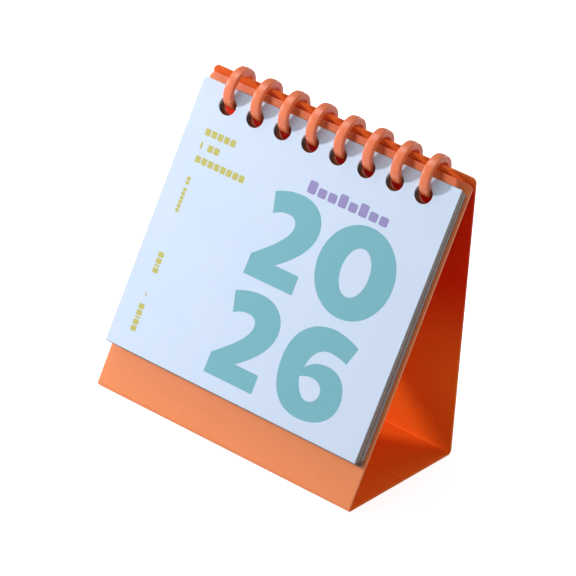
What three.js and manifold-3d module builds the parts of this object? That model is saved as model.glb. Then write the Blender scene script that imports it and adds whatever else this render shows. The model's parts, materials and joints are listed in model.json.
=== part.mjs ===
// A desk calendar: a folded plastic stand, a pack of sheets and eight plastic rings.
// Millimetres. +X runs across the width, +Y points away from the reader and +Z points up.
// The origin is the centre of the stand's base, on the surface that it stands on.

import * as THREE from 'three';
import { mergeVertices } from 'three/addons/utils/BufferGeometryUtils.js';
import Module from 'manifold-3d';

const wasm = await Module();
wasm.setup();

const degrees = Math.PI / 180;

// Sheets: the printed cover and the pack behind it.
const sheetWidth = 110;
const sheetHeight = 103;
const sheetMargin = 6.65; // from the centres of the holes to the top edge
const coverThickness = 0.35;
const packTopThickness = 2.7;
const packFootThickness = 5.05; // the sheets fan out towards the foot
const fanAngle = 1.3 * degrees; // the foot of the pack stands off the panel

// Stand: one sheet, folded twice.
const sideOverhang = 1; // the stand is this much wider than the sheets, on each side
const standDepth = 73; // between the outer faces' corners on the floor
const standSheet = 1.1;
const frontLean = 15.8 * degrees;
const frontHeight = 124.15; // up the outer face of the front panel
const rearRise = 2.35; // the rear panel's top edge lies this much above the front panel's
const foldRadius = 1.5; // outer radius of both folds
const cornerRadius = 2; // top corners of both panels
const creaseWidth = 1;
const creaseDepth = 0.3;

// Rings and the row of punched holes that they pass through.
const ringCount = 8;
const rowEndMargin = 13; // from the sheets' side edges to the first and the last hole
const ringOuterRadius = 8.05;
const ringBand = 2.35; // thickness of the band, measured along the radius
const ringWidth = 3.55;
const ringEdgeRadius = 0.5;
const ringDrop = 2; // from the top of the front panel down to the rings' centre
const rowShift = -0.8; // the row of holes lies a little left of the stand's middle
const holeRadius = 3.55;
const coverFromRingCentre = 3.7; // from the rings' centre to the cover's printed face

// Clearances between pieces.
const leafGap = 0.3; // cover to pack, and pack to panel at its top edge
const hangGap = 0.3; // holes to the inside of the rings that they hang on
const panelGap = 0.3; // between the two panels, at the front panel's top edge

// Fineness of the round shapes.
const foldSteps = 6;
const cornerSteps = 6;
const holeSteps = 24;
const ringSteps = 36;
const ringEdgeSteps = 2;
const cutSpare = 1; // how far a cutter runs past the face that it cuts
const innerCutSpare = 0.1; // the same where the other panel lies close behind

const colours = {
  stand: { color: 0xe8743a, roughness: 0.55, metalness: 0 },
  ring: { color: 0xee6f45, roughness: 0.3, metalness: 0 },
  cover: { color: 0xd4e3f7, roughness: 0.75, metalness: 0 },
  pack: { color: 0x8a7f78, roughness: 0.9, metalness: 0 },
};

const standWidth = sheetWidth + 2 * sideOverhang;
const ringPitch = (sheetWidth - 2 * rowEndMargin) / (ringCount - 1);
const ringInnerRadius = ringOuterRadius - ringBand;
const pageLean = frontLean + fanAngle;

/** A flat frame in space: across is always +X, up runs up the face, out is its normal. */
function leaningFrame(originY, originZ, lean) {
  const up = new THREE.Vector3(0, Math.sin(lean), Math.cos(lean));
  const across = new THREE.Vector3(1, 0, 0);
  const out = new THREE.Vector3().crossVectors(across, up);
  const origin = new THREE.Vector3(0, originY, originZ);
  const matrix = new THREE.Matrix4().makeBasis(across, up, out).setPosition(origin);
  return { matrix, inverse: matrix.clone().invert() };
}

/** The height of a frame's point and its distance out of the face, for a point in space. */
function pointInFrame(frame, point) {
  const local = point.clone().applyMatrix4(frame.inverse);
  return { up: local.y, out: local.z };
}

/** The lean of a line from a foot that passes a point at this distance from it. */
function leanPast(footY, point, distance) {
  const reach = Math.hypot(footY - point.y, point.z);
  return Math.acos(distance / reach) - Math.atan2(point.z, footY - point.y);
}

// The front frame's normal points at the reader.
const frontFrame = leaningFrame(-standDepth / 2, 0, frontLean);
const frontTop = new THREE.Vector3(0, frontHeight, 0).applyMatrix4(frontFrame.matrix);
const frontTopInside = new THREE.Vector3(0, frontHeight, -standSheet)
  .applyMatrix4(frontFrame.matrix);

// The rear panel leans just past the front panel's top edge. Its frame's normal points inwards.
const rearLean = leanPast(standDepth / 2, frontTopInside, standSheet + panelGap);
const rearHeight = (frontTop.z + rearRise) / Math.cos(rearLean);
const rearFrame = leaningFrame(standDepth / 2, 0, -rearLean);

// The rings' centre lies over the front panel by what the pack's thickness leaves.
const packStandOff = leafGap + packTopThickness + leafGap + coverThickness;
const ringCentre = new THREE.Vector3(0, frontHeight - ringDrop, packStandOff - coverFromRingCentre)
  .applyMatrix4(frontFrame.matrix);

// The pack's frame: its origin is the rings' centre, so that the cover turns about its X axis.
const pageFrame = leaningFrame(ringCentre.y, ringCentre.z, pageLean);

/** Half the length of the chord that a circle cuts from a line at this distance. */
function halfChord(radius, distance) {
  return Math.sqrt(radius * radius - distance * distance);
}

/** Heights of a sheet that hangs on the insides of the rings, by its face's distance out. */
function hangingSheet(face) {
  const ringInside = -halfChord(ringInnerRadius, face);
  const holes = ringInside + hangGap - halfChord(holeRadius, ringWidth / 2);
  const top = holes + sheetMargin;
  return { holes, top, foot: top - sheetHeight };
}

// The pack hangs a little lower than the cover, because its faces lie nearer the rings' centre.
const packFace = coverFromRingCentre - coverThickness - leafGap;
const coverHang = hangingSheet(coverFromRingCentre);
const packHang = hangingSheet(packFace);

/** The middle of a ring's way through a panel whose faces lie between near and far. */
function ringCrossing(near, far) {
  const lowest = halfChord(ringOuterRadius, near);
  const highest = halfChord(ringInnerRadius, far);
  return (lowest + highest) / 2;
}

const ringOnFront = pointInFrame(frontFrame, ringCentre);
const ringOnRear = pointInFrame(rearFrame, ringCentre);
const frontHoleUp = ringOnFront.up
  - ringCrossing(Math.abs(ringOnFront.out), Math.abs(ringOnFront.out) + standSheet);
const rearHoleUp = ringOnRear.up - ringCrossing(ringOnRear.out - standSheet, ringOnRear.out);

/** The places of the rings along the width. */
function ringPlaces() {
  const places = [];
  for (let index = 0; index < ringCount; index += 1) {
    places.push(rowShift + (index - (ringCount - 1) / 2) * ringPitch);
  }
  return places;
}

/** Keeps only the positions of a geometry and merges the points that its faces share. */
function merged(geometry) {
  const bare = geometry.clone();
  bare.deleteAttribute('normal');
  bare.deleteAttribute('uv');
  return mergeVertices(bare, 1e-4);
}

/** A closed geometry as a solid that can be joined and cut. */
function solidFrom(geometry) {
  const clean = merged(geometry);
  return new wasm.Manifold(new wasm.Mesh({
    numProp: 3,
    vertProperties: new Float32Array(clean.attributes.position.array),
    triVerts: new Uint32Array(clean.index.array),
  }));
}

/** A solid as a geometry with flat faces. */
function geometryFrom(solid) {
  const mesh = solid.getMesh();
  const geometry = new THREE.BufferGeometry();
  geometry.setAttribute('position', new THREE.BufferAttribute(mesh.vertProperties, 3));
  geometry.setIndex(new THREE.BufferAttribute(mesh.triVerts, 1));
  geometry.computeVertexNormals();
  return geometry;
}

/** Extrudes an outline drawn in the side view, with y to the right and z up, across X. */
function sideExtrusion(shape, width, curveSegments = 1) {
  const geometry = new THREE.ExtrudeGeometry(shape, {
    depth: width,
    bevelEnabled: false,
    curveSegments,
  });
  geometry.translate(0, 0, -width / 2);
  const sideView = new THREE.Matrix4().makeBasis(
    new THREE.Vector3(0, 1, 0),
    new THREE.Vector3(0, 0, 1),
    new THREE.Vector3(1, 0, 0),
  );
  return geometry.applyMatrix4(sideView);
}

/** Round cutters through a face of a frame, one for each ring, from one depth to another. */
function holeCutters(frame, up, from, to) {
  return ringPlaces().map((across) => {
    const cutter = new THREE.CylinderGeometry(holeRadius, holeRadius, to - from, holeSteps);
    cutter.rotateX(Math.PI / 2);
    cutter.translate(across, up, (from + to) / 2);
    return cutter.applyMatrix4(frame.matrix);
  });
}

/** A cutter that leaves one top corner of a panel round; side is 1 on the right, -1 left. */
function cornerCutter(frame, height, side, from, to) {
  const edge = standWidth / 2;
  const middle = edge - cornerRadius;
  const low = height - cornerRadius;
  const outline = new THREE.Shape();
  outline.moveTo(edge, low);
  outline.absarc(middle, low, cornerRadius, 0, Math.PI / 2, false);
  outline.lineTo(middle, height + cutSpare);
  outline.lineTo(edge + cutSpare, height + cutSpare);
  outline.lineTo(edge + cutSpare, low);
  const cutter = new THREE.ExtrudeGeometry(outline, {
    depth: to - from,
    bevelEnabled: false,
    curveSegments: cornerSteps,
  });
  cutter.translate(0, 0, from);
  if (side < 0) {
    // Half a turn about the panel's upright brings the cutter to the left corner.
    cutter.rotateY(Math.PI);
    cutter.translate(0, 0, from + to);
  }
  return cutter.applyMatrix4(frame.matrix);
}

/** The stand's section: front panel, fold, creased base, fold and rear panel. */
function standSection() {
  const innerFold = foldRadius - standSheet;
  const quarter = Math.PI / 2;
  const frontCentre = -standDepth / 2 + foldRadius / Math.tan((quarter - frontLean) / 2);
  const rearCentre = standDepth / 2 - foldRadius / Math.tan((quarter - rearLean) / 2);
  const rearTop = new THREE.Vector3(0, rearHeight, 0).applyMatrix4(rearFrame.matrix);
  const rearTopInside = new THREE.Vector3(0, rearHeight, standSheet)
    .applyMatrix4(rearFrame.matrix);

  const outline = new THREE.Shape();
  outline.moveTo(frontTop.y, frontTop.z);
  outline.absarc(frontCentre, foldRadius, foldRadius, 2 * quarter - frontLean, 3 * quarter);
  outline.absarc(rearCentre, foldRadius, foldRadius, 3 * quarter, 4 * quarter + rearLean);
  outline.lineTo(rearTop.y, rearTop.z);
  outline.lineTo(rearTopInside.y, rearTopInside.z);
  outline.absarc(rearCentre, foldRadius, innerFold, 4 * quarter + rearLean, 3 * quarter, true);
  outline.lineTo(creaseWidth / 2, standSheet);
  outline.lineTo(0, standSheet - creaseDepth);
  outline.lineTo(-creaseWidth / 2, standSheet);
  outline.absarc(frontCentre, foldRadius, innerFold, 3 * quarter, 2 * quarter - frontLean, true);
  outline.lineTo(frontTopInside.y, frontTopInside.z);
  return outline;
}

/** The folded stand with its round top corners and its two rows of holes. */
function makeStand() {
  const cutters = [
    ...holeCutters(frontFrame, frontHoleUp, -standSheet - cutSpare, cutSpare),
    ...holeCutters(rearFrame, rearHoleUp, -cutSpare, standSheet + cutSpare),
  ];
  for (const side of [1, -1]) {
    const inside = standSheet + innerCutSpare;
    cutters.push(cornerCutter(frontFrame, frontHeight, side, -inside, cutSpare));
    cutters.push(cornerCutter(rearFrame, rearHeight, side, -cutSpare, inside));
  }
  let stand = solidFrom(sideExtrusion(standSection(), standWidth, foldSteps));
  for (const cutter of cutters) stand = stand.subtract(solidFrom(cutter));
  return geometryFrom(stand);
}

/** The pack behind the cover: one solid that grows thicker towards its foot. */
function makePack() {
  const outline = new THREE.Shape();
  outline.moveTo(packFace, packHang.top);
  outline.lineTo(packFace - packTopThickness, packHang.top);
  outline.lineTo(packFace - packFootThickness, packHang.foot);
  outline.lineTo(packFace, packHang.foot);
  const pack = new THREE.ExtrudeGeometry(outline, { depth: sheetWidth, bevelEnabled: false });
  // The outline lies in the pack's side view: its x is out of the face and its y is up.
  pack.rotateY(-Math.PI / 2);
  pack.translate(rowShift + sheetWidth / 2, 0, 0);
  pack.applyMatrix4(pageFrame.matrix);
  const cutters = holeCutters(
    pageFrame,
    packHang.holes,
    packFace - packFootThickness - cutSpare,
    packFace + cutSpare,
  );
  let solid = solidFrom(pack);
  for (const cutter of cutters) solid = solid.subtract(solidFrom(cutter));
  return geometryFrom(solid);
}

/** The printed front sheet, which turns on the rings. */
function makeCover() {
  const edge = sheetWidth / 2;
  const outline = new THREE.Shape();
  outline.moveTo(rowShift - edge, coverHang.foot);
  outline.lineTo(rowShift + edge, coverHang.foot);
  outline.lineTo(rowShift + edge, coverHang.top);
  outline.lineTo(rowShift - edge, coverHang.top);
  for (const across of ringPlaces()) {
    const hole = new THREE.Path();
    hole.absarc(across, coverHang.holes, holeRadius, 0, 2 * Math.PI, true);
    outline.holes.push(hole);
  }
  const cover = new THREE.ExtrudeGeometry(outline, {
    depth: coverThickness,
    bevelEnabled: false,
    curveSegments: holeSteps / 2,
  });
  cover.translate(0, 0, coverFromRingCentre - coverThickness);
  return merged(cover.applyMatrix4(pageFrame.matrix));
}

/** One closed ring: a flat band with rounded edges, turned about its centre. */
function makeRing() {
  const band = [];
  const half = ringWidth / 2 - ringEdgeRadius;
  const corners = [
    [ringInnerRadius + ringEdgeRadius, -half, 2],
    [ringOuterRadius - ringEdgeRadius, -half, 3],
    [ringOuterRadius - ringEdgeRadius, half, 0],
    [ringInnerRadius + ringEdgeRadius, half, 1],
  ];
  for (const [radius, along, quarterTurn] of corners) {
    for (let step = 0; step <= ringEdgeSteps; step += 1) {
      const angle = (quarterTurn + step / ringEdgeSteps) * Math.PI / 2;
      band.push(new THREE.Vector2(
        radius + ringEdgeRadius * Math.cos(angle),
        along + ringEdgeRadius * Math.sin(angle),
      ));
    }
  }
  band.push(band[0].clone());
  const ring = new THREE.LatheGeometry(band, ringSteps);
  ring.rotateZ(-Math.PI / 2);
  return merged(ring);
}

/** A named mesh with its own material. */
function piece(name, geometry, look) {
  const material = new THREE.MeshStandardMaterial(look);
  const mesh = new THREE.Mesh(geometry, material);
  mesh.name = name;
  return mesh;
}

const calendar = new THREE.Group();
calendar.name = 'desk_calendar';
calendar.add(piece('stand', makeStand(), colours.stand));
calendar.add(piece('page_pack', makePack(), colours.pack));
calendar.add(piece('cover_sheet', makeCover(), colours.cover));

ringPlaces().forEach((across, index) => {
  const ring = piece(`ring_${index + 1}`, makeRing(), colours.ring);
  ring.position.set(across, ringCentre.y, ringCentre.z);
  calendar.add(ring);
});

export default calendar;
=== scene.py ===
"""A small desk calendar: a folded orange stand, eight moulded rings and a pack of sheets.

Every length in the classes is in millimetres and becomes metres where a mesh is placed.
+X runs across the width, +Y points away from the reader and +Z points up.
"""

import json
import logging
import math
import random
from dataclasses import dataclass
from enum import Enum
from typing import Callable, ClassVar, Sequence

import bmesh
import bpy
from mathutils import Matrix, Vector


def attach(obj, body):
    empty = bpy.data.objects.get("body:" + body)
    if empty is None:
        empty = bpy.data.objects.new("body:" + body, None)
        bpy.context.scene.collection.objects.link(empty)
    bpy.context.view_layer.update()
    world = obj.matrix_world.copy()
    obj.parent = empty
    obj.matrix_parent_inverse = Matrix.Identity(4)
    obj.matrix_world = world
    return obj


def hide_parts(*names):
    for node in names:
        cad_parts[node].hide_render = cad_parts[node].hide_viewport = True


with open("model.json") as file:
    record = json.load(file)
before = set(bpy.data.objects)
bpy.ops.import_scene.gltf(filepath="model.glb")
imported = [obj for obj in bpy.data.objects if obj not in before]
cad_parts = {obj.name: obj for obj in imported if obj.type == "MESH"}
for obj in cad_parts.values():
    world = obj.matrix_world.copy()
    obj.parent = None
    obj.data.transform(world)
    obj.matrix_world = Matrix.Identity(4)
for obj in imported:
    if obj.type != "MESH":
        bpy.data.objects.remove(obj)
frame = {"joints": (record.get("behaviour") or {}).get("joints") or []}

LOG = logging.getLogger("desk_calendar")
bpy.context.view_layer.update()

Pair = tuple[float, float]
Triple = tuple[float, float, float]
Colour = tuple[float, float, float, float]

MM = 0.001
QUARTER_TURN = math.pi / 2
ON_LINE = 0.01  # a point this near a line lies on it
MERGE_DISTANCE = 0.001
FINE_MERGE = 0.0005  # for curves, whose points lie closer together
CUT_SNAP = 0.0001
FAN_ANGLE = math.radians(1.3)  # how much further back than the panel the pages lean
RIM_ANGLE = math.radians(60)  # edges sharper than this are a plate's rims
WALL_LEVEL = 0.5  # faces whose normal rises less than this are a flat plate's cut edges
OVAL_PULL = 0.56  # the length of an oval's handles, as a share of its half width
WHITE = (1.0, 1.0, 1.0, 1.0)
BLACK = (0.0, 0.0, 0.0, 1.0)


class Body(Enum):
    """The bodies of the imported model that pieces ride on."""

    STAND = "stand"
    COVER = "cover"


class Slot(Enum):
    """The material slots of the record."""

    STAND = "stand"
    RING = "ring"
    COVER = "cover"
    PACK = "pack"


# Shader maths


class Socket:
    """A node socket with arithmetic: each operator adds the Math node that it needs."""

    def __init__(self, book: "NodeBook", link: bpy.types.NodeSocket) -> None:
        """Wraps link, an output socket of a node in book."""
        self.book = book
        self.link = link

    def _math(self, operation: str, first: object, second: object) -> "Socket":
        """Adds a Math node for two sockets or numbers."""
        return self.book.node("ShaderNodeMath", {"operation": operation}, {0: first, 1: second})

    def __add__(self, other: object) -> "Socket":
        """self + other."""
        return self._math("ADD", self, other)

    __radd__ = __add__

    def __mul__(self, other: object) -> "Socket":
        """self * other."""
        return self._math("MULTIPLY", self, other)

    __rmul__ = __mul__

    def __sub__(self, other: object) -> "Socket":
        """self - other."""
        return self._math("SUBTRACT", self, other)

    def __rsub__(self, other: object) -> "Socket":
        """other - self."""
        return self._math("SUBTRACT", other, self)


class NodeBook:
    """A node tree, with one method that adds any node."""

    def __init__(self, owner: bpy.types.Material | bpy.types.World) -> None:
        """Empties the node tree of owner, which the new nodes go into."""
        owner.use_nodes = True
        self.owner = owner
        self.tree = owner.node_tree
        self.tree.nodes.clear()

    @classmethod
    def of_material(cls, name: str) -> "NodeBook":
        """The empty node tree of a new material."""
        return cls(bpy.data.materials.new(name))

    def add(
        self,
        kind: str,
        settings: dict[str, object] | None = None,
        inputs: dict[str | int, object] | None = None,
    ) -> bpy.types.Node:
        """Adds a node.

        Args:
            kind: The node's type.
            settings: Properties set first, such as a Math node's operation; "stops" fills a ramp.
            inputs: Values, or sockets to link, by the name or number of the input.

        Returns:
            The node.
        """
        node = self.tree.nodes.new(kind)
        for key, value in (settings or {}).items():
            if key == "stops":
                self._fill_ramp(node.color_ramp, value)
            else:
                setattr(node, key, value)
        for key, value in (inputs or {}).items():
            if isinstance(value, Socket):
                self.tree.links.new(value.link, node.inputs[key])
            else:
                node.inputs[key].default_value = value
        return node

    def node(
        self,
        kind: str,
        settings: dict[str, object] | None = None,
        inputs: dict[str | int, object] | None = None,
        output: str | int = 0,
    ) -> Socket:
        """Adds a node, as add does, and returns one of its outputs by name or number."""
        return Socket(self, self.add(kind, settings, inputs).outputs[output])

    @staticmethod
    def _fill_ramp(ramp: bpy.types.ColorRamp, stops: Sequence[Pair]) -> None:
        """Gives a ramp grey stops.

        Args:
            ramp: The ramp of a new node.
            stops: The place and the level of each stop.
        """
        while len(ramp.elements) > len(stops):
            ramp.elements.remove(ramp.elements[-1])
        while len(ramp.elements) < len(stops):
            ramp.elements.new(1.0)
        for element, (place, level) in zip(ramp.elements, stops):
            element.position = place
            element.color = (level, level, level, 1.0)

    def place(self) -> Socket:
        """The object coordinates, in metres, which are the same as the model's own frame."""
        return self.node("ShaderNodeTexCoord", output="Object")

    def stretched(self, scale: Triple, turn: float = 0.0) -> Socket:
        """Object coordinates that are turned and then scaled along each axis.

        Args:
            scale: The factors along X, Y and Z.
            turn: The angle about X, in radians.

        Returns:
            The new coordinates.
        """
        turning = {"Vector": self.place(), "Rotation": (turn, 0.0, 0.0)}
        turned = self.node("ShaderNodeMapping", inputs=turning)
        return self.node("ShaderNodeMapping", inputs={"Vector": turned, "Scale": scale})

    def rise(self, low: float, high: float) -> Socket:
        """A soft step between two heights above the floor.

        Args:
            low: Where it begins to leave 0, in millimetres.
            high: Where it reaches 1.

        Returns:
            The step's level.
        """
        height = self.node("ShaderNodeSeparateXYZ", inputs={"Vector": self.place()}, output="Z")
        limits = {"Value": height, "From Min": low * MM, "From Max": high * MM}
        return self.node("ShaderNodeMapRange", {"interpolation_type": "SMOOTHSTEP"}, limits)

    def noise(self, vector: Socket, scale: float, detail: float = 2.0) -> Socket:
        """A noise from 0 to 1; scale is its number of lumps in each unit of the vector."""
        inputs = {"Vector": vector, "Scale": scale, "Detail": detail}
        return self.node("ShaderNodeTexNoise", inputs=inputs, output="Fac")

    def ramp(self, level: Socket, stops: Sequence[Pair]) -> Socket:
        """The level after a ramp of grey stops."""
        return self.node("ShaderNodeValToRGB", {"stops": stops}, {"Fac": level})

    def blend(self, factor: Socket, first: object, second: object) -> Socket:
        """A colour between first and second, which are the Mix node's inputs 6 and 7."""
        inputs = {"Factor": factor, 6: first, 7: second}
        return self.node("ShaderNodeMix", {"data_type": "RGBA"}, inputs, output=2)

    def bump(self, height: Socket, strength: float, distance: float) -> Socket:
        """A normal bumped by a height from 0 to 1, where 1 stands distance metres proud."""
        inputs = {"Height": height, "Strength": strength, "Distance": distance}
        return self.node("ShaderNodeBump", inputs=inputs, output="Normal")

    def surface(self, **inputs: object) -> bpy.types.Material:
        """Adds a Principled shader with these inputs and ends the material.

        Args:
            **inputs: Values or sockets by input name, with _ for each space.

        Returns:
            The finished material.
        """
        named = {key.replace("_", " "): value for key, value in inputs.items()}
        shader = self.node("ShaderNodeBsdfPrincipled", inputs=named)
        self.add("ShaderNodeOutputMaterial", inputs={"Surface": shader})
        return self.owner


def tone(red: float, green: float, blue: float) -> Colour:
    """A colour as a shader takes it.

    Args:
        red: The screen value, from 0 to 255.
        green: The same for green.
        blue: The same for blue.

    Returns:
        The linear colour, with full alpha.
    """

    def linear(level: float) -> float:
        """One channel as a linear value."""
        share = level / 255.0
        return share / 12.92 if share <= 0.04045 else ((share + 0.055) / 1.055) ** 2.4

    return (linear(red), linear(green), linear(blue), 1.0)


# Finishes


@dataclass(frozen=True)
class GrainedSheet:
    """Orange plastic sheet, embossed with a fine leather-like grain."""

    name: str
    light: Triple
    deep: Triple
    gloss: float
    haze: float = 0.0
    haze_roughness: float = 0.5
    roughness: float = 0.56
    grain_size: float = 0.55
    grain_height: float = 0.05
    grain_strength: float = 0.55
    fold_scale: float = 900.0
    drift_scale: float = 35.0

    def material(
        self, fades: Sequence[tuple["GrainedSheet", float, float]] = ()
    ) -> bpy.types.Material:
        """Cells for the grain's pebbles, noise for its folds and a slow drift of colour.

        Args:
            fades: Sheets whose colours this one takes on in turn as painted shade, each with the
                heights above the floor, in millimetres, where that begins and ends.

        Returns:
            The material.
        """
        book = NodeBook.of_material(self.name)
        place = book.place()
        folds = book.noise(place, self.fold_scale, 2.0)
        cells = book.node(
            "ShaderNodeTexVoronoi",
            {"feature": "SMOOTH_F1", "distance": "EUCLIDEAN"},
            {"Vector": place, "Scale": 1.0 / (self.grain_size * MM), "Smoothness": 0.6},
            output="Distance",
        )
        pebbles = book.ramp(1.0 - cells, [(0.25, 0.0), (0.75, 1.0)])
        height = pebbles * 0.7 + folds * 0.3
        mixing = pebbles * 0.45 + book.noise(place, self.drift_scale, 3.0) * 0.4
        colour = book.blend(mixing, tone(*self.deep), tone(*self.light))
        for sheet, low, high in fades:
            other = book.blend(mixing, tone(*sheet.deep), tone(*sheet.light))
            colour = book.blend(book.rise(low, high), colour, other)
        return book.surface(
            Base_Color=colour,
            Roughness=self.roughness - pebbles * 0.16,
            Normal=book.bump(height, self.grain_strength, self.grain_height * MM),
            Specular_IOR_Level=self.gloss,
            Coat_Weight=self.haze,
            Coat_Roughness=self.haze_roughness,
        )


@dataclass(frozen=True)
class MouldedRing:
    """Smooth moulded plastic, glossy, with the faint flow marks of its mould."""

    name: str = "moulded_orange_plastic"
    colour: Triple = (235, 112, 58)
    pale: Triple = (238, 122, 72)
    roughness: float = 0.33
    gloss: float = 0.6
    coat: float = 0.6
    coat_roughness: float = 0.4
    flow_scale: float = 420.0
    pit_scale: float = 2600.0
    relief: float = 0.03

    def material(self) -> bpy.types.Material:
        """A soft gloss over a colour that drifts a little along the moulding's flow.

        Returns:
            The material.
        """
        book = NodeBook.of_material(self.name)
        flow = book.noise(book.stretched((1.0, 0.35, 0.35)), self.flow_scale, 2.0)
        pits = book.noise(book.place(), self.pit_scale, 3.0)
        return book.surface(
            Base_Color=book.blend(flow, tone(*self.colour), tone(*self.pale)),
            Roughness=self.roughness + flow * 0.12,
            Normal=book.bump(flow * 0.8 + pits * 0.2, 0.25, self.relief * MM),
            Specular_IOR_Level=self.gloss,
            Coat_Weight=self.coat,
            Coat_Roughness=self.coat_roughness,
        )


@dataclass(frozen=True)
class CoatedCard:
    """Card with a smooth printed ground over its fibres."""

    name: str
    colour: Triple
    shade: Triple
    lean: float
    roughness: float = 0.62
    gloss: float = 0.35
    painted_foot_shadow: Triple = (146, 142, 148)
    fibre_scale: float = 2400.0
    cloud_scale: float = 60.0
    relief: float = 0.015

    def material(self, foot: Pair | None = None) -> bpy.types.Material:
        """Long soft fibres in the relief and a slow cloudiness in the colour.

        Args:
            foot: Where the grey painted shadow along the card's foot begins to fade and where it
                ends, in millimetres above the floor.

        Returns:
            The material.
        """
        book = NodeBook.of_material(self.name)
        along = book.stretched((1.0, 1.0, 0.35), -self.lean)
        fibres = book.noise(along, self.fibre_scale, 4.0)
        clouds = book.noise(book.place(), self.cloud_scale, 2.0)
        colour = book.blend(clouds, tone(*self.shade), tone(*self.colour))
        if foot is not None:
            # Painted shadow: a grey band along the foot for the cover's shadow on the leaves below
            # it.
            colour = book.blend(book.rise(*foot), tone(*self.painted_foot_shadow), colour)
        return book.surface(
            Base_Color=colour,
            Roughness=self.roughness + fibres * 0.12,
            Normal=book.bump(fibres, 0.2, self.relief * MM),
            Specular_IOR_Level=self.gloss,
        )


@dataclass(frozen=True)
class CutEdge:
    """The cut edge of a sheet: bare fibres with fine lines from the blade."""

    name: str
    colour: Triple
    dark: Triple
    roughness: float = 0.85
    gloss: float = 0.2
    stretch: Triple = (40.0, 400.0, 40.0)
    streak_scale: float = 12.0
    relief: float = 0.03

    def material(self) -> bpy.types.Material:
        """Streaks along the edge between the paper's tone and a darker one.

        Returns:
            The material.
        """
        book = NodeBook.of_material(self.name)
        streaks = book.noise(book.stretched(self.stretch), self.streak_scale, 3.0)
        spread = book.ramp(streaks, [(0.35, 0.0), (0.7, 1.0)])
        return book.surface(
            Base_Color=book.blend(spread, tone(*self.dark), tone(*self.colour)),
            Roughness=self.roughness + spread * 0.1,
            Normal=book.bump(streaks, 0.4, self.relief * MM),
            Specular_IOR_Level=self.gloss,
        )


@dataclass(frozen=True)
class PrintInk:
    """Flat printing ink, a little uneven where the paper drinks it."""

    name: str
    colour: Triple
    roughness: float = 0.5
    gloss: float = 0.35
    paleness: float = 0.1
    mottle_scale: float = 1500.0
    relief: float = 0.01

    def material(self) -> bpy.types.Material:
        """A fine mottle in the colour and the sheen.

        Returns:
            The material.
        """
        book = NodeBook.of_material(self.name)
        mottle = book.noise(book.place(), self.mottle_scale, 3.0)
        pale = tuple(level + (255.0 - level) * self.paleness for level in self.colour)
        return book.surface(
            Base_Color=book.blend(mottle, tone(*self.colour), tone(*pale)),
            Roughness=self.roughness + mottle * 0.15,
            Normal=book.bump(mottle, 0.15, self.relief * MM),
            Specular_IOR_Level=self.gloss,
        )


# Shapes


@dataclass(frozen=True)
class Face:
    """A flat frame that leans back: across is +X, up runs up the face, out leaves it."""

    origin: Vector
    lean: float

    def point(self, across: float, up: float, out: float) -> Vector:
        """A point of the face as a place in the model, all in millimetres.

        Args:
            across: The distance along +X.
            up: The height up the face.
            out: The distance out of it.

        Returns:
            The place.
        """
        sine, cosine = math.sin(self.lean), math.cos(self.lean)
        offset = Vector((across, up * sine - out * cosine, up * cosine + out * sine))
        return self.origin + offset

    def local(self, place: Vector) -> Pair:
        """Measures a place in the model against the face.

        Args:
            place: The place, in millimetres.

        Returns:
            The height up the face and the distance out of it.
        """
        sine, cosine = math.sin(self.lean), math.cos(self.lean)
        offset = place - self.origin
        up = offset.y * sine + offset.z * cosine
        out = offset.z * sine - offset.y * cosine
        return up, out


class Rounded(Enum):
    """What of a shape is rounded off."""

    CORNERS = "VERTICES"
    EDGES = "EDGES"


def round_off(
    shape: bmesh.types.BMesh,
    geom: Sequence[bmesh.types.BMVert | bmesh.types.BMEdge],
    part: Rounded,
    size: float,
    steps: int,
) -> None:
    """Rounds off corners or edges of a shape.

    Args:
        shape: The shape.
        geom: The corners or edges.
        part: Which of the two they are.
        size: How far in the round starts.
        steps: The number of flats in the round.
    """
    bmesh.ops.bevel(
        shape,
        geom=geom,
        offset=size,
        segments=steps,
        profile=0.5,
        affect=part.value,
        material=-1,
    )


@dataclass(frozen=True)
class Hole:
    """A round hole in a flat sheet, by its centre."""

    across: float
    up: float
    radius: float


@dataclass(frozen=True)
class Plate:
    """A flat plate with round corners and holes, drawn lying in the XY plane.

    Its faces point along Z and its thickness grows from z = 0 upwards.
    """

    low: Pair
    high: Pair
    thickness: float
    corner: float = 0.0
    holes: tuple[Hole, ...] = ()
    rim: float = 0.0
    corner_steps: int = 12
    hole_steps: int = 64
    rim_steps: int = 2

    def shape(self) -> bmesh.types.BMesh:
        """Fills the outline round its holes, then thickens it and breaks its rims.

        Returns:
            The plate's mesh, in millimetres.
        """
        plate = bmesh.new()
        width, height = self.high[0] - self.low[0], self.high[1] - self.low[1]
        middle = ((self.high[0] + self.low[0]) / 2, (self.high[1] + self.low[1]) / 2, 0.0)
        bmesh.ops.create_grid(plate, x_segments=1, y_segments=1, size=0.5)
        bmesh.ops.scale(plate, vec=(width, height, 1.0), verts=plate.verts[:])
        bmesh.ops.translate(plate, vec=middle, verts=plate.verts[:])
        if self.corner > 0.0:
            round_off(plate, plate.verts[:], Rounded.CORNERS, self.corner, self.corner_steps)
        for hole in self.holes:
            circle = bmesh.ops.create_circle(
                plate, cap_ends=False, segments=self.hole_steps, radius=hole.radius
            )
            centre = (hole.across, hole.up, 0.0)
            bmesh.ops.translate(plate, vec=centre, verts=circle["verts"])
        bmesh.ops.delete(plate, geom=plate.faces[:], context="FACES_ONLY")
        bmesh.ops.triangle_fill(plate, use_beauty=True, edges=plate.edges[:])
        grown = bmesh.ops.extrude_face_region(plate, geom=plate.faces[:])
        lifted = [item for item in grown["geom"] if isinstance(item, bmesh.types.BMVert)]
        bmesh.ops.translate(plate, vec=(0.0, 0.0, self.thickness), verts=lifted)
        bmesh.ops.recalc_face_normals(plate, faces=plate.faces[:])
        if self.rim > 0.0:
            rims = [e for e in plate.edges if e.calc_face_angle(0.0) > RIM_ANGLE]
            round_off(plate, rims, Rounded.EDGES, self.rim, self.rim_steps)
        return plate


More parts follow.
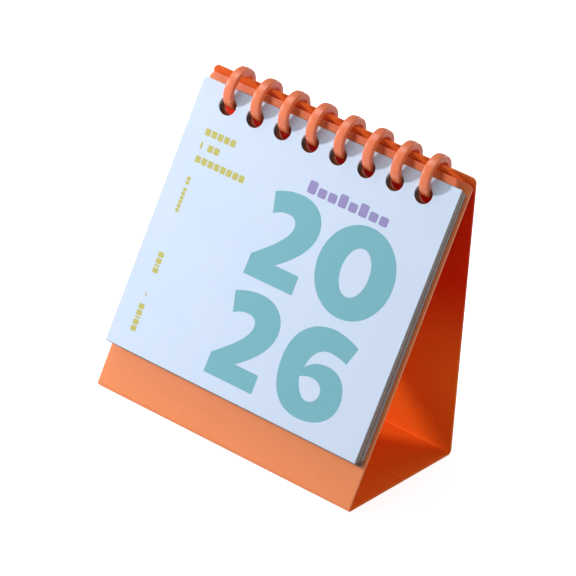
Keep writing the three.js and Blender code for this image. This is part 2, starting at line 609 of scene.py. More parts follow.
@dataclass
class Piece:
    """One finished object and what it stands for."""

    name: str
    shape: bmesh.types.BMesh
    materials: list[bpy.types.Material]
    body: Body
    slot: Slot
    replaces: tuple[str, ...] = ()
    smooth: float = 28.0

    def finish(self) -> None:
        """Makes the object, with soft shading on its round parts only, and lets it ride."""
        for face in self.shape.faces:
            face.smooth = True
        mesh = bpy.data.meshes.new(self.name)
        self.shape.to_mesh(mesh)
        self.shape.free()
        for material in self.materials:
            mesh.materials.append(material)
        mesh.set_sharp_from_angle(angle=math.radians(self.smooth))
        made = new_object(self.name, mesh)
        weighted = made.modifiers.new("even_shading", "WEIGHTED_NORMAL")
        weighted.keep_sharp = True
        if self.replaces:
            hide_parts(*self.replaces)
        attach(made, self.body.value)
        LOG.info("%s: %d faces, on %s", self.name, len(mesh.polygons), self.body.value)


def new_object(name: str, data: bpy.types.ID) -> bpy.types.Object:
    """Puts an object with this data in the scene.

    Args:
        name: The object's name.
        data: Its mesh, curve, light or camera.

    Returns:
        The object.
    """
    made = bpy.data.objects.new(name, data)
    bpy.context.scene.collection.objects.link(made)
    return made


def move_points(shape: bmesh.types.BMesh, place: Callable[[Vector], Vector]) -> None:
    """Sends every vertex of a shape to its place in the model.

    Args:
        shape: The shape, in millimetres, which comes out in metres.
        place: Gives the place of a point, both in millimetres.
    """
    for vert in shape.verts:
        vert.co = place(vert.co) * MM
    bmesh.ops.recalc_face_normals(shape, faces=shape.faces[:])


def join_shape(target: bmesh.types.BMesh, shape: bmesh.types.BMesh) -> None:
    """Adds one shape to another.

    Args:
        target: The shape that grows.
        shape: The shape that goes into it and is freed.
    """
    mesh = bpy.data.meshes.new("joined_shape")
    shape.to_mesh(mesh)
    shape.free()
    target.from_mesh(mesh)
    bpy.data.meshes.remove(mesh)


# Sub-assemblies


@dataclass
class Binding:
    """The eight rings, and the row of holes that they pass through."""

    centre: Vector
    end_margin: float = 13.0
    sheet_width: float = 110.0
    count: int = 8
    outer_radius: float = 8.05
    band: float = 2.35
    width: float = 3.55
    hole_radius: float = 3.55
    hang_gap: float = 0.3
    row_shift: float = -0.8
    edge_radius: float = 0.36
    edge_steps: int = 6
    crown: float = 0.2
    spin_steps: int = 112

    @property
    def inner_radius(self) -> float:
        """The radius of the band's inner face."""
        return self.outer_radius - self.band

    def places(self) -> list[float]:
        """Spreads the rings over the sheet's width.

        Returns:
            The rings' places along the width, from left to right.
        """
        pitch = (self.sheet_width - 2 * self.end_margin) / (self.count - 1)
        middle = (self.count - 1) / 2
        return [self.row_shift + (index - middle) * pitch for index in range(self.count)]

    def crossing(self, near: float, far: float) -> float:
        """The middle of a ring's way through a sheet, whose faces lie near and far.

        Args:
            near: The distance from the rings' centre to the sheet's nearer face.
            far: The distance to its farther face.

        Returns:
            How far below the rings' centre the ring's way lies, along the sheet.
        """
        lowest = math.sqrt(self.outer_radius**2 - near**2)
        highest = math.sqrt(self.inner_radius**2 - far**2)
        return (lowest + highest) / 2

    def holes(self, up: float) -> tuple[Hole, ...]:
        """The row of holes at one height of a sheet."""
        return tuple(Hole(across, up, self.hole_radius) for across in self.places())

    def band_section(self) -> bmesh.types.BMesh:
        """Draws the band's section, its outer side a little crowned.

        Returns:
            A closed loop in the XZ plane, at the top of the ring.
        """
        section = bmesh.new()
        bmesh.ops.create_grid(section, x_segments=2, y_segments=1, size=0.5)
        bmesh.ops.rotate(
            section,
            cent=(0.0, 0.0, 0.0),
            matrix=Matrix.Rotation(QUARTER_TURN, 3, "X"),
            verts=section.verts[:],
        )
        flat = self.band - self.crown
        bmesh.ops.scale(section, vec=(self.width, 1.0, flat), verts=section.verts[:])
        height = self.inner_radius + flat / 2
        bmesh.ops.translate(section, vec=(0.0, 0.0, height), verts=section.verts[:])
        for vert in section.verts:
            if abs(vert.co.x) < ON_LINE and vert.co.z > height:
                vert.co.z += self.crown
        corners = [v for v in section.verts if abs(v.co.x) > ON_LINE]
        bmesh.ops.dissolve_edges(
            section, edges=[e for e in section.edges if not e.is_boundary], use_verts=False
        )
        round_off(section, corners, Rounded.CORNERS, self.edge_radius, self.edge_steps)
        bmesh.ops.delete(section, geom=section.faces[:], context="FACES_ONLY")
        return section

    def ring_shape(self, across: float) -> bmesh.types.BMesh:
        """Spins the band's section once round the rings' centre.

        Args:
            across: The ring's place along the width.

        Returns:
            The ring, in place.
        """
        ring = self.band_section()
        bmesh.ops.spin(
            ring,
            geom=ring.verts[:] + ring.edges[:],
            cent=(0.0, 0.0, 0.0),
            axis=(1.0, 0.0, 0.0),
            dvec=(0.0, 0.0, 0.0),
            angle=2 * math.pi,
            steps=self.spin_steps,
            use_merge=True,
        )
        bmesh.ops.remove_doubles(ring, verts=ring.verts[:], dist=MERGE_DISTANCE)
        middle = Vector((across, self.centre.y, self.centre.z))
        move_points(ring, lambda point: point + middle)
        return ring

    def build(self) -> None:
        """Makes the rings, each in place of its node."""
        plastic = MouldedRing().material()
        for number, across in enumerate(self.places(), start=1):
            Piece(
                f"moulded_ring_{number}",
                self.ring_shape(across),
                [plastic],
                Body.STAND,
                Slot.RING,
                (f"ring_{number}",),
                smooth=60.0,
            ).finish()


@dataclass
class FoldedStand:
    """The stand: one sheet with a front panel, a creased base and a rear panel."""

    binding: Binding
    width: float = 112.0
    depth: float = 73.0
    sheet: float = 1.1
    front_lean: float = math.radians(15.8)
    front_height: float = 124.15
    rear_rise: float = 2.35
    panel_gap: float = 0.3
    fold_radius: float = 1.5
    corner: float = 2.0
    crease_width: float = 1.0
    crease_depth: float = 0.3
    rim: float = 0.16
    fold_cuts: int = 10
    ring_shade_fade: Pair = (0.93, 0.96)
    inner_shade_fade: Pair = (0.25, 0.65)

    def __post_init__(self) -> None:
        """Works out the rear panel, the folds and the lengths of the unfolded sheet."""
        self.front = Face(Vector((0.0, -self.depth / 2, 0.0)), self.front_lean)
        top = self.front.point(0.0, self.front_height, 0.0)
        inside = self.front.point(0.0, self.front_height, -self.sheet)
        run = self.depth / 2 - inside.y
        reach = math.hypot(run, inside.z)
        passing = math.acos((self.sheet + self.panel_gap) / reach)
        self.rear_lean = passing - math.atan2(inside.z, run)
        self.rear_height = (top.z + self.rear_rise) / math.cos(self.rear_lean)
        # The rear frame's out points inwards, because its across stays +X.
        self.rear = Face(Vector((0.0, self.depth / 2, 0.0)), -self.rear_lean)
        self.front_set_back = self._set_back(self.front_lean)
        self.rear_set_back = self._set_back(self.rear_lean)
        self.front_end = self.front_height - self.front_set_back
        self.base_start = self.front_end + self._bend(self.front_lean)
        base_run = self.depth - self.front_set_back - self.rear_set_back
        self.base_end = self.base_start + base_run
        self.rear_start = self.base_end + self._bend(self.rear_lean)
        self.total = self.rear_start + self.rear_height - self.rear_set_back

    def _set_back(self, lean: float) -> float:
        """How far from the sharp corner the round of a leaning panel's fold begins."""
        return self.fold_radius / math.tan((QUARTER_TURN - lean) / 2)

    def _bend(self, lean: float) -> float:
        """The length of sheet in a leaning panel's fold."""
        return self.fold_radius * (QUARTER_TURN + lean)

    @property
    def crease(self) -> float:
        """Where the crease lies on the unfolded sheet."""
        return (self.base_start + self.base_end) / 2

    def folded(self, point: Vector) -> Vector:
        """Where a point of the unfolded sheet lies once it is folded.

        Args:
            point: x across, y down the sheet from the front panel's top edge, and z the
                depth below the outer face.

        Returns:
            The place in the model, in millimetres.
        """
        across, along, depth = point
        if along <= self.front_end:
            return self.front.point(across, self.front_height - along, -depth)
        if along < self.base_start:
            turn = math.pi - self.front_lean + (along - self.front_end) / self.fold_radius
            return self._in_fold(across, self.front_set_back - self.depth / 2, turn, depth)
        if along <= self.base_end:
            if abs(along - self.crease) < ON_LINE and depth > self.sheet / 2:
                depth -= self.crease_depth
            start = self.front_set_back - self.depth / 2
            return Vector((across, start + along - self.base_start, depth))
        if along < self.rear_start:
            turn = 3 * QUARTER_TURN + (along - self.base_end) / self.fold_radius
            return self._in_fold(across, self.depth / 2 - self.rear_set_back, turn, depth)
        height = self.rear_set_back + along - self.rear_start
        return self.rear.point(across, height, depth)

    def _in_fold(self, across: float, centre: float, turn: float, depth: float) -> Vector:
        """A point of a fold, by the direction of the sheet's outer face."""
        radius = self.fold_radius - depth
        return Vector((
            across,
            centre + radius * math.cos(turn),
            self.fold_radius + radius * math.sin(turn),
        ))

    def holes(self) -> tuple[Hole, ...]:
        """Places the holes where the rings pass through the folded panels.

        Returns:
            The holes of both panels, on the unfolded sheet.
        """
        centre = self.binding.centre
        front_up, front_out = self.front.local(centre)
        rear_up, rear_out = self.rear.local(centre)
        near = abs(front_out)
        front = front_up - self.binding.crossing(near, near + self.sheet)
        rear = rear_up - self.binding.crossing(rear_out - self.sheet, rear_out)
        rear_along = self.rear_start + rear - self.rear_set_back
        return self.binding.holes(self.front_height - front) + self.binding.holes(rear_along)

    def cuts(self) -> list[float]:
        """Divides the folds into flats and marks the crease.

        Returns:
            Where the unfolded sheet needs an edge across it.
        """
        places = []
        ends = ((self.front_end, self.base_start), (self.base_end, self.rear_start))
        for start, end in ends:
            step = (end - start) / self.fold_cuts
            places += [start + step * index for index in range(self.fold_cuts + 1)]
        half = self.crease_width / 2
        return places + [self.crease - half, self.crease, self.crease + half]

    def build(self) -> None:
        """Cuts, bends and dresses the sheet."""
        half = self.width / 2
        plate = Plate(
            (-half, 0.0),
            (half, self.total),
            self.sheet,
            self.corner,
            self.holes(),
            self.rim,
        ).shape()
        for along in self.cuts():
            bmesh.ops.bisect_plane(
                plate,
                geom=plate.verts[:] + plate.edges[:] + plate.faces[:],
                dist=CUT_SNAP,
                plane_co=(0.0, along, 0.0),
                plane_no=(0.0, 1.0, 0.0),
            )
        for face in plate.faces:
            # The cut edges match the outside on the front panel and elsewhere take the inside's
            # painted shade.
            past_front = face.calc_center_median().y > self.front_end
            level = -WALL_LEVEL if past_front else WALL_LEVEL
            face.material_index = 1 if face.normal.z > level else 0
        move_points(plate, self.folded)
        outside = GrainedSheet("grained_orange_sheet", (242, 142, 77), (236, 128, 65), 0.8, 0.3)
        # Painted shade: near the panels' top edges the sheet fades to a deeper orange that stands
        # in for the rings' shadows on it.
        edge = GrainedSheet("grained_orange_painted_ring_shade", (239, 115, 51), (232, 102, 42), 0.8, 0.3)
        # Painted shade: the inner faces are a deeper, redder copy of the same plastic for the
        # shade inside the folded stand, and darker still higher up inside it.
        inside = GrainedSheet("grained_orange_painted_inner_shade", (251, 122, 38), (246, 110, 28), 0.08)
        upper = GrainedSheet("grained_orange_painted_deep_shade", (226, 50, 10), (218, 42, 7), 0.08)
        top = (edge, *(share * self.front_height for share in self.ring_shade_fade))
        deep_shade_fade = (upper, *(share * self.front_height for share in self.inner_shade_fade))
        Piece(
            "folded_stand",
            plate,
            [outside.material([top]), inside.material([deep_shade_fade, top])],
            Body.STAND,
            Slot.STAND,
            ("stand",),
        ).finish()


@dataclass(frozen=True)
class Hang:
    """A sheet on the rings: its holes, top edge and foot, by height over their centre."""

    holes: float
    top: float
    foot: float


@dataclass(frozen=True)
class Leaf:
    """A leaf of the pack: how far its face lies from the rings' centre, and how it hangs.

    Each leaf but the last stands for one month. It grows thicker towards its foot by the
    share swell. Its edges lie to the right by shift and its holes by play.
    """

    out_top: float
    out_foot: float
    thickness: float
    swell: float
    shift: float
    play: float
    hang: Hang


@dataclass
class SheetPack:
    """The sheets behind the cover: a leaf for each month, and a card at the back.

    The leaves lie further apart at the foot, where they also grow thicker, and drift to the
    right towards the back, so that their edges can be told apart.
    """

    binding: Binding
    page: Face
    cover_face: float = 3.7
    width: float = 110.0
    height: float = 103.0
    margin: float = 6.65
    cover_thickness: float = 0.35
    leaf_gap: float = 0.3
    first_gap: float = 0.2
    months: int = 12
    month_thickness: float = 0.17
    foot_swell: float = 1.0
    card_thickness: float = 0.55
    top_thickness: float = 2.7
    foot_thickness: float = 5.05
    side_play: float = 0.1
    side_drift: float = 0.8
    settling: Pair = (0.92, 1.0)
    painted_foot_shadow_band: Pair = (0.1, 0.9)
    hole_steps: int = 32
    seed: int = 12

    def hang(self, out: float, shift: float = 0.0, share: float = 1.0) -> Hang:
        """How a sheet hangs on the insides of the rings.

        Args:
            out: The distance of its face from the rings' centre.
            shift: How far it lies to one side.
            share: How much of the difference from the cover's height it takes on.

        Returns:
            The heights of its holes and edges.
        """
        ring = self.binding
        reach = math.sqrt(ring.hole_radius**2 - (ring.width / 2 + abs(shift)) ** 2)
        drop = math.sqrt(ring.inner_radius**2 - out**2)
        cover = math.sqrt(ring.inner_radius**2 - self.cover_face**2)
        holes = ring.hang_gap - reach - cover - share * (drop - cover)
        top = holes + self.margin
        return Hang(holes, top, top - self.height)

    def leaves(self) -> list[Leaf]:
        """Spaces and hangs the leaves, those at the back a little lower.

        Returns:
            The leaves from the first month to the card at the back.
        """
        chance = random.Random(self.seed)
        face = self.cover_face - self.cover_thickness - self.leaf_gap
        top_step = (self.top_thickness - self.card_thickness) / self.months
        foot_step = (self.foot_thickness - self.card_thickness - self.first_gap) / self.months
        leaves = []
        for index in range(self.months + 1):
            out_top = face - top_step * index
            out_foot = face - self.first_gap - foot_step * index
            drift = self.side_drift * index / self.months
            play = chance.uniform(-self.side_play, self.side_play)
            last = index == self.months
            thickness = self.card_thickness if last else self.month_thickness
            swell = 0.0 if last else self.foot_swell
            hang = self.hang(out_top, play, chance.uniform(*self.settling))
            leaves.append(Leaf(out_top, out_foot, thickness, swell, drift + play, play, hang))
        return leaves

    def on_leaf(self, leaf: Leaf, point: Vector) -> Vector:
        """Places a point of a leaf, which takes up more depth towards its foot.

        Args:
            leaf: The leaf.
            point: x and y on the page, and z out of the leaf's printed face.

        Returns:
            The place in the model.
        """
        share = (leaf.hang.top - point.y) / self.height
        out = leaf.out_top + (leaf.out_foot - leaf.out_top) * share
        depth = point.z * (1.0 + leaf.swell * share) if point.z < 0.0 else point.z
        return self.page.point(point.x, point.y, out + depth)

    def leaf_shape(self, leaf: Leaf) -> bmesh.types.BMesh:
        """Cuts, punches and places one leaf.

        Args:
            leaf: The leaf.

        Returns:
            Its mesh, with the outer edges in the second material and the holes' in the third.
        """
        middle = self.binding.row_shift + leaf.shift
        half = self.width / 2
        holes = tuple(
            Hole(across + leaf.play, leaf.hang.holes, self.binding.hole_radius)
            for across in self.binding.places()
        )
        low, high = (middle - half, leaf.hang.foot), (middle + half, leaf.hang.top)
        shape = Plate(low, high, leaf.thickness, holes=holes, hole_steps=self.hole_steps).shape()
        for face in shape.faces:
            if abs(face.normal.z) < WALL_LEVEL:
                x, y, _ = face.calc_center_median()
                outer = min(x - low[0], high[0] - x, y - low[1], high[1] - y) < ON_LINE
                face.material_index = 1 if outer else 2
        back = Vector((0.0, 0.0, leaf.thickness))
        move_points(shape, lambda point: self.on_leaf(leaf, point - back))
        return shape

    def build(self) -> None:
        """Makes each sheet and joins them into one piece."""
        joined = bmesh.new()
        leaves = self.leaves()
        for leaf in leaves:
            join_shape(joined, self.leaf_shape(leaf))
        foot = self.page.point(0.0, leaves[0].hang.foot, leaves[0].out_foot).z
        # Painted shadow along the leaves' foot, below the cover.
        painted_foot_shadow = tuple(foot + height for height in self.painted_foot_shadow_band)
        paper = CoatedCard("month_paper", (236, 238, 240), (228, 230, 233), self.page.lean)
        # Painted shade: the leaves' cut edges are a dark grey-brown for the shade in the gaps
        # between the sheets.
        edge = CutEdge("cut_paper_edge_painted_shade", (146, 104, 82), (84, 58, 44))
        # Painted shade: the holes' walls are near black-red for the shade inside the holes.
        hole_wall_shade = CutEdge("punched_edge_painted_shade", (66, 38, 36), (32, 18, 18))
        Piece(
            "month_sheets",
            joined,
            [paper.material(painted_foot_shadow), edge.material(), hole_wall_shade.material()],
            Body.STAND,
            Slot.PACK,
            ("page_pack",),
        ).finish()


class Ink(Enum):
    """The printing inks of the sheets."""

    TEAL = PrintInk("teal_ink", (110, 174, 188))
    VIOLET = PrintInk("violet_ink", (142, 134, 188))
    OCHRE = PrintInk("ochre_ink", (188, 182, 92))
    GREY = PrintInk("grey_ink", (96, 100, 112))


@dataclass(frozen=True)
class Knot:
    """A point of an outline with the ends of its two handles, in millimetres."""

    at: Pair
    before: Pair
    after: Pair


def corner(across: float, up: float) -> Knot:
    """A sharp point between two straight lines."""
    return Knot((across, up), (across, up), (across, up))


def oval(across: float, up: float, half_width: float, half_height: float) -> tuple[Knot, ...]:
    """Draws an upright oval.

    Args:
        across: Its centre's distance from the left.
        up: Its centre's height.
        half_width: Half its width.
        half_height: Half its height.

    Returns:
        Its four knots, from the left one upwards.
    """
    pull_x, pull_y = half_width * OVAL_PULL, half_height * OVAL_PULL
    left, right = across - half_width, across + half_width
    low, high = up - half_height, up + half_height
    return (
        Knot((left, up), (left, up - pull_y), (left, up + pull_y)),
        Knot((across, high), (across - pull_x, high), (across + pull_x, high)),
        Knot((right, up), (right, up + pull_y), (right, up - pull_y)),
        Knot((across, low), (across + pull_x, low), (across - pull_x, low)),
    )


class Numeral(Enum):
    """Heavy numerals, each a list of closed outlines from its lower left corner."""

    TWO = (
        (
            Knot((0.5, 31.6), (0.5, 31.6), (4.0, 33.3)),
            Knot((11.5, 34.2), (7.4, 34.2), (17.8, 34.2)),
            Knot((22.6, 24.0), (22.6, 30.0), (22.6, 17.2)),
            Knot((10.8, 7.2), (16.9, 11.8), (10.8, 7.2)),
            corner(21.1, 7.2),
            corner(21.1, 0.0),
            corner(0.0, 0.0),
            Knot((0.2, 7.7), (0.2, 7.7), (7.2, 13.4)),
            Knot((12.6, 22.4), (12.6, 18.4), (12.6, 24.7)),
            Knot((8.7, 25.9), (11.1, 25.9), (6.4, 25.9)),
            Knot((2.6, 23.9), (4.6, 25.3), (2.6, 23.9)),
        ),
    )
    ZERO = (oval(15.7, 17.0, 15.7, 17.1), oval(15.6, 17.0, 5.7, 9.0))
    SIX = (
        (
            corner(26.7, 31.8),
            Knot((16.4, 34.5), (22.4, 34.1), (6.2, 34.5)),
            Knot((0.0, 17.6), (0.0, 27.8), (0.0, 6.6)),
            Knot((13.9, 0.0), (5.0, 0.0), (22.2, 0.0)),
            Knot((27.7, 11.0), (27.7, 4.6), (27.7, 17.2)),
            Knot((18.2, 21.5), (24.0, 21.5), (14.6, 21.5)),
            Knot((9.5, 17.5), (11.6, 20.2), (10.2, 23.0)),
            Knot((17.4, 26.3), (12.9, 26.3), (20.2, 26.3)),
            Knot((24.4, 24.9), (22.4, 25.7), (24.4, 24.9)),
        ),
        (
            Knot((9.1, 14.0), (9.3, 12.2), (10.6, 14.9)),
            Knot((14.0, 15.4), (12.3, 15.4), (16.9, 15.4)),
            Knot((18.9, 11.2), (18.9, 13.6), (18.9, 8.8)),
            Knot((14.7, 7.0), (17.2, 7.0), (11.6, 7.0)),
        ),
    )


@dataclass(frozen=True)
class PlainLine:
    """A row of plain blocks.

    In its pattern T is a tall block, s a short one, i a narrow one and - a dash, and a space
    leaves a gap. Widths are shares of block, and rises are shares of size.
    """

    name: str
    ink: Ink
    start: Pair
    size: float
    pattern: str
    block: float
    gap: float
    turn: float = 0.0
    corner: float = 0.16
    corner_steps: int = 5
    widths: ClassVar[dict[str, float]] = {"i": 0.38, " ": 0.6, "-": 0.9}
    rises: ClassVar[dict[str, Pair]] = {"s": (0.0, 0.72), "-": (0.4, 0.6)}

    def shape(self, thickness: float) -> bmesh.types.BMesh:
        """Lays the blocks in a row and turns the row about its start.

        Args:
            thickness: The thickness of the ink.

        Returns:
            The flat row, measured from the middle of the sheet's foot.
        """
        row = bmesh.new()
        along = 0.0
        for kind in self.pattern:
            width = self.block * self.widths.get(kind, 1.0)
            low, high = self.rises.get(kind, (0.0, 1.0))
            if kind != " ":
                block = Plate(
                    (along, low * self.size),
                    (along + width, high * self.size),
                    thickness,
                    corner=self.corner * self.size,
                    corner_steps=self.corner_steps,
                ).shape()
                join_shape(row, block)
            along += width + self.gap
        matrix = Matrix.Rotation(math.radians(self.turn), 3, "Z")
        bmesh.ops.rotate(row, cent=(0.0, 0.0, 0.0), matrix=matrix, verts=row.verts[:])
        bmesh.ops.translate(row, vec=(*self.start, 0.0), verts=row.verts[:])
        return row


@dataclass
class CoverSheet:
    """The front sheet, which turns on the rings, and its print."""

    pack: SheetPack
    rim: float = 0.05
    ink_thickness: float = 0.02
    ink_steps: int = 16

    def build(self) -> None:
        """Makes the sheet and everything printed on it."""
        pack = self.pack
        hang = pack.hang(pack.cover_face)
        middle = pack.binding.row_shift
        plate = Plate(
            (middle - pack.width / 2, hang.foot),
            (middle + pack.width / 2, hang.top),
            pack.cover_thickness,
            holes=pack.binding.holes(hang.holes),
            rim=self.rim,
        ).shape()
        for face in plate.faces:
            face.material_index = 1 if abs(face.normal.z) < WALL_LEVEL else 0
        back = pack.cover_face - pack.cover_thickness
        move_points(plate, lambda point: pack.page.point(point.x, point.y, back + point.z))
        card = CoatedCard("pale_blue_card", (208, 223, 243), (202, 218, 240), pack.page.lean)
        edge = CutEdge("card_edge", (226, 232, 240), (188, 194, 204))
        Piece(
            "front_card",
            plate,
            [card.material(), edge.material()],
            Body.COVER,
            Slot.COVER,
            ("cover_sheet",),
        ).finish()
        self._print()

    def _print(self) -> None:
        """Lays out the numerals and the rows of plain blocks."""
        inks = {ink: ink.value.material() for ink in (Ink.TEAL, Ink.VIOLET, Ink.OCHRE)}
        numerals = (
            ("numeral_2_upper", Numeral.TWO, -12.35, 44.1),
            ("numeral_0_upper", Numeral.ZERO, 13.0, 44.0),
            ("numeral_2_lower", Numeral.TWO, -13.1, 5.6),
            ("numeral_6_lower", Numeral.SIX, 13.95, 5.3),
        )
        for name, numeral, across, up in numerals:
            shape = self.outline_shape(numeral.value)
            self._stamp(name, shape, across, up, inks[Ink.TEAL])
        for line in self.lines():
            self._stamp(line.name, line.shape(self.ink_thickness), 0.0, 0.0, inks[line.ink])

    def lines(self) -> list[PlainLine]:
        """Plans the rows of plain blocks, from the middle of the sheet's foot.

        Returns:
            A heading, three short rows at the upper left and one down the left side.
        """
        heading = PlainLine(
            "heading", Ink.VIOLET, (-0.4, 80.0), size=4.7, pattern="TssTsTss", block=3.5, gap=0.85
        )
        short = [
            PlainLine(name, Ink.OCHRE, (-46.7, up), size=2.6, pattern=pattern, block=2.25, gap=0.5)
            for name, up, pattern in (
                ("row_1", 83.4, "TTTTT"),
                ("row_2", 78.2, "i TT"),
                ("row_3", 73.0, "TTTTTTTT"),
            )
        ]
        side = [
            PlainLine(
                name,
                Ink.OCHRE,
                (-47.0, up),
                size=size,
                pattern=pattern,
                block=0.88 * size,
                gap=0.18 * size,
                turn=-90.0,
            )
            for name, up, size, pattern in (
                ("side_row_1", 67.2, 1.5, "TT TTTTTT"),
                ("side_row_2", 38.0, 2.3, "TTiT"),
                ("side_row_3", 24.0, 2.3, " - "),
                ("side_row_4", 17.8, 2.3, "TTiTT"),
            )
        ]
        return [heading, *short, *side]

    def outline_shape(self, outlines: Sequence[Sequence[Knot]]) -> bmesh.types.BMesh:
        """A thin flat shape from closed outlines, with holes where they lie inside.

        Args:
            outlines: The closed outlines, each a row of knots.

        Returns:
            The shape, from z = 0 up to the ink's thickness.
        """
        curve = bpy.data.curves.new("outline", "CURVE")
        curve.dimensions = "2D"
        curve.fill_mode = "BOTH"
        curve.resolution_u = self.ink_steps
        curve.extrude = self.ink_thickness / 2
        for knots in outlines:
            spline = curve.splines.new("BEZIER")
            spline.use_cyclic_u = True
            spline.bezier_points.add(len(knots) - 1)
            for point, knot in zip(spline.bezier_points, knots):
                point.handle_left_type = "FREE"
                point.handle_right_type = "FREE"
                point.co = (*knot.at, 0.0)
                point.handle_left = (*knot.before, 0.0)
                point.handle_right = (*knot.after, 0.0)
        shape = mesh_of_curve(curve)
        bmesh.ops.translate(shape, vec=(0.0, 0.0, self.ink_thickness / 2), verts=shape.verts[:])
        return shape

    def _stamp(
        self,
        name: str,
        shape: bmesh.types.BMesh,
        across: float,
        up: float,
        material: bpy.types.Material,
    ) -> None:
        """Puts a flat shape on the sheet's printed face.

        Args:
            name: The piece's name.
            shape: The flat shape, in millimetres.
            across: Where its own zero lies across the sheet, from the sheet's middle.
            up: Where its own zero lies above the sheet's foot.
            material: Its ink.
        """
        pack = self.pack
        start = pack.binding.row_shift + across
        foot = pack.hang(pack.cover_face).foot + up

        def place(point: Vector) -> Vector:
            """From the flat shape to the sheet's face."""
            return pack.page.point(start + point.x, foot + point.y, pack.cover_face + point.z)

        move_points(shape, place)
        Piece(name, shape, [material], Body.COVER, Slot.COVER).finish()


def mesh_of_curve(curve: bpy.types.Curve) -> bmesh.types.BMesh:
    """Turns a flat curve or a text into a mesh.

    Args:
        curve: The curve, which is removed.

    Returns:
        The mesh, with its doubles merged.
    """
    holder = new_object("flat_curve", curve)
    bpy.context.view_layer.update()
    graph = bpy.context.evaluated_depsgraph_get()
    mesh = bpy.data.meshes.new_from_object(holder.evaluated_get(graph))
    shape = bmesh.new()
    shape.from_mesh(mesh)
    bmesh.ops.remove_doubles(shape, verts=shape.verts[:], dist=FINE_MERGE)
    bpy.data.objects.remove(holder)
    bpy.data.curves.remove(curve)
    bpy.data.meshes.remove(mesh)
    return shape


@dataclass
class MonthGrid:
    """The plain grid of day numbers on the first sheet behind the cover."""

    pack: SheetPack
    days: int = 31
    first_column: int = 3
    columns: int = 7
    column_step: float = 13.6
    row_step: float = 12.4
    top_row: float = 68.0
    number_size: float = 5.2
    number_weight: float = 0.06
    number_steps: int = 4
    mark_half_width: float = 3.0
    mark_rise: Pair = (78.0, 79.4)
    mark_corner: float = 0.6
    heading_low: Pair = (-47.0, 83.5)
    heading_high: Pair = (-16.0, 88.5)
    heading_corner: float = 2.3
    ink_thickness: float = 0.02

    def column_middle(self, column: int) -> float:
        """A column's distance from the sheet's middle."""
        return (column - (self.columns - 1) / 2) * self.column_step

    def number_shape(self, number: int) -> bmesh.types.BMesh:
        """Writes a day's number.

        Args:
            number: The day.

        Returns:
            A thin flat shape, centred across.
        """
        text = bpy.data.curves.new("day", "FONT")
        text.body = str(number)
        text.size = self.number_size
        text.align_x = "CENTER"
        text.offset = self.number_weight
        text.extrude = self.ink_thickness / 2
        text.resolution_u = self.number_steps
        return mesh_of_curve(text)

    def build(self) -> None:
        """Places the numbers, with a heading bar and a line of marks over the columns."""
        numbers = bmesh.new()
        for day in range(1, self.days + 1):
            row, column = divmod(day - 1 + self.first_column, self.columns)
            up = self.top_row - row * self.row_step
            offset = (self.column_middle(column), up, self.ink_thickness / 2)
            shape = self.number_shape(day)
            bmesh.ops.translate(shape, vec=offset, verts=shape.verts[:])
            join_shape(numbers, shape)
        self._stamp("day_numbers", numbers, Ink.GREY)
        marks = bmesh.new()
        for column in range(self.columns):
            middle = self.column_middle(column)
            low = (middle - self.mark_half_width, self.mark_rise[0])
            high = (middle + self.mark_half_width, self.mark_rise[1])
            bar = Plate(low, high, self.ink_thickness, self.mark_corner, corner_steps=4).shape()
            join_shape(marks, bar)
        heading = Plate(
            self.heading_low, self.heading_high, self.ink_thickness, self.heading_corner
        ).shape()
        join_shape(marks, heading)
        self._stamp("column_marks", marks, Ink.TEAL)

    def _stamp(self, name: str, shape: bmesh.types.BMesh, ink: Ink) -> None:
        """Puts a flat shape on the first leaf's printed face.

        Args:
            name: The piece's name.
            shape: The shape, in millimetres from the middle of the leaf's foot.
            ink: Its ink.
        """
        leaf = self.pack.leaves()[0]
        start = Vector((self.pack.binding.row_shift + leaf.shift, leaf.hang.foot, 0.0))
        move_points(shape, lambda point: self.pack.on_leaf(leaf, start + point))
        Piece(name, shape, [ink.value.material()], Body.STAND, Slot.PACK).finish()


# Studio


def facing(place: Vector, aim: Vector) -> Matrix:
    """The rotation with which a lamp or a camera at a place looks at a point."""
    return (aim - place).to_track_quat("-Z", "Y").to_matrix()


@dataclass(frozen=True)
class Lamp:
    """A square soft light that faces the object; lengths in millimetres, power in watts."""

    name: str
    place: Triple
    size: float
    power: float
    aim: Triple = (0.0, 0.0, 60.0)

    def build(self) -> None:
        """Adds the light to the scene."""
        data = bpy.data.lights.new(self.name, "AREA")
        data.shape = "SQUARE"
        data.size = self.size * MM
        data.energy = self.power
        place = Vector(self.place)
        turn = facing(place, Vector(self.aim)).to_4x4()
        new_object(self.name, data).matrix_world = Matrix.Translation(place * MM) @ turn


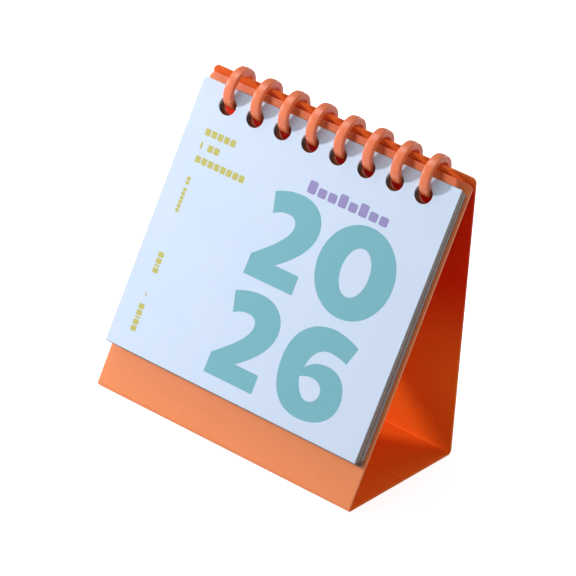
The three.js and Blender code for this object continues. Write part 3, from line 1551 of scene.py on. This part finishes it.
@dataclass
class Studio:
    """The camera at the photograph's angle, the floor and the soft light."""

    camera_place: Triple = (482.8, -915.1, 519.4)
    camera_aim: Triple = (-4.1, -5.4, 54.4)
    camera_roll: float = math.radians(13.08)
    lens: float = 196.1
    sensor: float = 36.0
    near_limit: float = 10.0
    sky_level: float = 0.32
    floor_radius: float = 3000.0
    floor_colour: Triple = (240, 241, 244)
    floor_roughness: float = 0.9
    floor_lift: float = 0.7
    lamps: tuple[Lamp, ...] = (
        Lamp("key_light", (-795.0, -440.0, 280.0), 60.0, 7.5),
        Lamp("top_light", (-430.0, -170.0, 950.0), 420.0, 2.6),
        Lamp("side_light", (950.0, -350.0, 420.0), 500.0, 0.8),
        Lamp("back_light", (150.0, 1000.0, 420.0), 500.0, 2.4),
    )

    def build(self) -> None:
        """Sets up everything round the object."""
        self._camera()
        self._floor()
        self._sky()
        for lamp in self.lamps:
            lamp.build()
        bpy.context.scene.view_settings.view_transform = "Standard"

    def _camera(self) -> None:
        """A long lens, turned about its own axis as the photograph is."""
        data = bpy.data.cameras.new("camera")
        data.lens = self.lens
        data.sensor_width = self.sensor
        data.clip_start = self.near_limit * MM
        camera = new_object("camera", data)
        place = Vector(self.camera_place)
        look = facing(place, Vector(self.camera_aim))
        roll = Matrix.Rotation(self.camera_roll, 3, "Z")
        camera.matrix_world = Matrix.Translation(place * MM) @ (look @ roll).to_4x4()
        bpy.context.scene.camera = camera

    def _floor(self) -> None:
        """A wide pale disc that shows white and keeps the object's shadow."""
        disc = bmesh.new()
        radius = self.floor_radius * MM
        bmesh.ops.create_circle(disc, cap_ends=True, segments=64, radius=radius)
        mesh = bpy.data.meshes.new("floor")
        disc.to_mesh(mesh)
        disc.free()
        floor = new_object("floor", mesh)
        book = NodeBook.of_material("pale_floor")
        camera_ray = book.node("ShaderNodeLightPath", output="Is Camera Ray")
        lift = (self.floor_lift, self.floor_lift, self.floor_lift, 1.0)
        mesh.materials.append(book.surface(
            Base_Color=tone(*self.floor_colour),
            Roughness=self.floor_roughness,
            Emission_Color=book.blend(camera_ray, BLACK, lift),
            Emission_Strength=1.0,
        ))

    def _sky(self) -> None:
        """An even white sky, plain white behind the object."""
        world = bpy.data.worlds.new("sky")
        book = NodeBook(world)
        seen = book.node("ShaderNodeLightPath", output="Is Camera Ray")
        strength = seen * (1.0 - self.sky_level) + self.sky_level
        sky = book.node("ShaderNodeBackground", inputs={"Color": WHITE, "Strength": strength})
        book.add("ShaderNodeOutputWorld", inputs={"Surface": sky})
        bpy.context.scene.world = world


def ring_centre() -> Vector:
    """The rings' centre, in millimetres, from the cover's hinge."""
    hinge = next(joint for joint in frame["joints"] if joint["name"] == "cover_turn")
    return Vector(hinge["pos_m"]) / MM


def main() -> None:
    """Builds the calendar from its frame outwards, and then the studio."""
    logging.basicConfig(level=logging.INFO, format="%(name)s: %(message)s")
    binding = Binding(ring_centre())
    stand = FoldedStand(binding)
    pack = SheetPack(binding, Face(binding.centre, stand.front_lean + FAN_ANGLE))
    stand.build()
    binding.build()
    pack.build()
    MonthGrid(pack).build()
    CoverSheet(pack).build()
    Studio().build()


if __name__ == "__main__":
    main()
